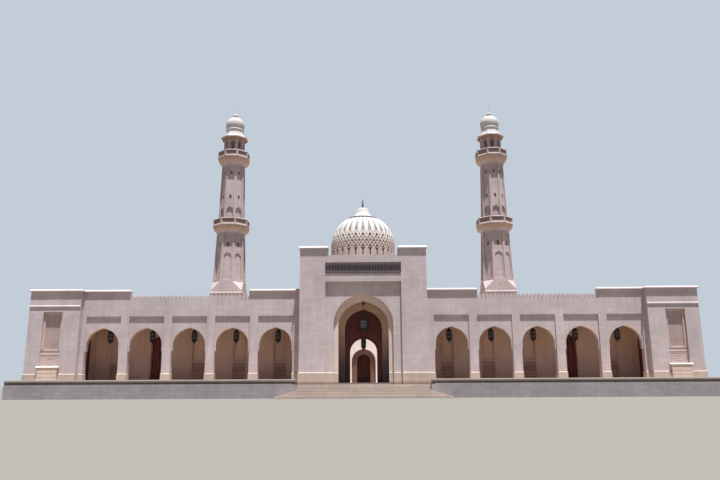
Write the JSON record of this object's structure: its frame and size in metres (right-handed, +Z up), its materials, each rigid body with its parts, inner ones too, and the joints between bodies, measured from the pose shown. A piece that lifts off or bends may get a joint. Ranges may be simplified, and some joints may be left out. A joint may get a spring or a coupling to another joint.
{
  "type": "mosque building, 1:10 scale model",
  "caption": "Mosque with a domed portal block, arcaded wings on a stepped podium, slender minarets with balconies, corner pavilions and a walled courtyard.",
  "frame": {"origin": "centre of the whole plan at ground level, under the podium", "axes": "+X to the right along the front, +Y from the front towards the back, +Z up"},
  "size_m": [8.84, 7.225, 4.413],
  "materials": {
    "wall_stone": "honed pinkish limestone ashlar",
    "white_stone": "honed white stone",
    "podium_marble": "matt blue-grey marble cladding",
    "step_marble": "honed beige marble",
    "loggia_plaster": "matt warm plaster",
    "teak": "oiled dark teak",
    "dark_bronze": "dark patinated bronze",
    "lantern_iron": "satin black paint"
  },
  "bodies": {
    "building": {"podium": "podium_marble", "front_steps": "step_marble", "portal_front_wall": "wall_stone", "portal_rear_wall": "wall_stone", "porch_vault": "wall_stone", "portal_inner_wall": "wall_stone", "portal_screen": "teak", "portal_lantern": "lantern_iron", "portal_band": "dark_bronze", "portal_roof": "wall_stone", "dome": "white_stone", "dome_finial": "white_stone", "outer_wall": "wall_stone", "outer_parapet": "wall_stone", "court_wall": "white_stone", "hall_door_screen": "wall_stone", "court_range_roof": "wall_stone", "terrace_kerb_left": "white_stone", "arcade_wall_left": "wall_stone", "front_parapet_left": "wall_stone", "pavilion_walls_left": "wall_stone", "loggia_back_wall_inner_left": "loggia_plaster", "loggia_back_wall_outer_left": "loggia_plaster", "loggia_end_wall_left": "loggia_plaster", "wing_roof_left": "wall_stone", "lantern_row_left": "lantern_iron", "portal_side_wall_left": "wall_stone", "portal_coping_left": "white_stone", "minaret_lower_shaft_left": "wall_stone", "minaret_lower_balcony_left": "wall_stone", "minaret_upper_shaft_left": "wall_stone", "minaret_upper_balcony_left": "wall_stone", "minaret_lantern_room_left": "wall_stone", "terrace_kerb_right": "white_stone", "arcade_wall_right": "wall_stone", "front_parapet_right": "wall_stone", "pavilion_walls_right": "wall_stone", "loggia_back_wall_inner_right": "loggia_plaster", "loggia_back_wall_outer_right": "loggia_plaster", "loggia_end_wall_right": "loggia_plaster", "wing_roof_right": "wall_stone", "lantern_row_right": "lantern_iron", "portal_side_wall_right": "wall_stone", "portal_coping_right": "white_stone", "minaret_lower_shaft_right": "wall_stone", "minaret_lower_balcony_right": "wall_stone", "minaret_upper_shaft_right": "wall_stone", "minaret_upper_balcony_right": "wall_stone", "minaret_lantern_room_right": "wall_stone"},
    "portal_leaf_left": {"portal_leaf_left": "teak"},
    "portal_leaf_right": {"portal_leaf_right": "teak"},
    "loggia_leaf_inner_left": {"loggia_leaf_inner_left": "teak"},
    "loggia_leaf_outer_left": {"loggia_leaf_outer_left": "teak"},
    "pavilion_leaf_front_left": {"pavilion_leaf_front_left": "teak"},
    "pavilion_leaf_back_left": {"pavilion_leaf_back_left": "teak"},
    "loggia_leaf_inner_right": {"loggia_leaf_inner_right": "teak"},
    "loggia_leaf_outer_right": {"loggia_leaf_outer_right": "teak"},
    "pavilion_leaf_front_right": {"pavilion_leaf_front_right": "teak"},
    "pavilion_leaf_back_right": {"pavilion_leaf_back_right": "teak"}
  },
  "joints": [
    {"name": "portal_leaf_left_hinge", "type": "hinge", "parent": "building", "child": "portal_leaf_left", "pos_m": [-0.195, -2.6335, 0.45], "axis": [0, 0, -1], "range_deg": [0, 90]},
    {"name": "portal_leaf_right_hinge", "type": "hinge", "parent": "building", "child": "portal_leaf_right", "pos_m": [0.195, -2.6335, 0.45], "axis": [0, 0, 1], "range_deg": [0, 90]},
    {"name": "loggia_leaf_inner_left_hinge", "type": "hinge", "parent": "building", "child": "loggia_leaf_inner_left", "pos_m": [-2.752, -2.2785, 0.45], "axis": [0, 0, -1], "range_deg": [0, 100]},
    {"name": "loggia_leaf_outer_left_hinge", "type": "hinge", "parent": "building", "child": "loggia_leaf_outer_left", "pos_m": [-2.968, -2.2785, 0.45], "axis": [0, 0, 1], "range_deg": [0, 100]},
    {"name": "pavilion_leaf_front_left_hinge", "type": "hinge", "parent": "building", "child": "pavilion_leaf_front_left", "pos_m": [-3.784, -2.7525, 0.45], "axis": [0, 0, 1], "range_deg": [0, 100]},
    {"name": "pavilion_leaf_back_left_hinge", "type": "hinge", "parent": "building", "child": "pavilion_leaf_back_left", "pos_m": [-3.784, -2.4225, 0.45], "axis": [0, 0, -1], "range_deg": [0, 100]},
    {"name": "loggia_leaf_inner_right_hinge", "type": "hinge", "parent": "building", "child": "loggia_leaf_inner_right", "pos_m": [2.752, -2.2785, 0.45], "axis": [0, 0, 1], "range_deg": [0, 100]},
    {"name": "loggia_leaf_outer_right_hinge", "type": "hinge", "parent": "building", "child": "loggia_leaf_outer_right", "pos_m": [2.968, -2.2785, 0.45], "axis": [0, 0, -1], "range_deg": [0, 100]},
    {"name": "pavilion_leaf_front_right_hinge", "type": "hinge", "parent": "building", "child": "pavilion_leaf_front_right", "pos_m": [3.784, -2.7525, 0.45], "axis": [0, 0, -1], "range_deg": [0, 100]},
    {"name": "pavilion_leaf_back_right_hinge", "type": "hinge", "parent": "building", "child": "pavilion_leaf_back_right", "pos_m": [3.784, -2.4225, 0.45], "axis": [0, 0, 1], "range_deg": [0, 100]}
  ]
}
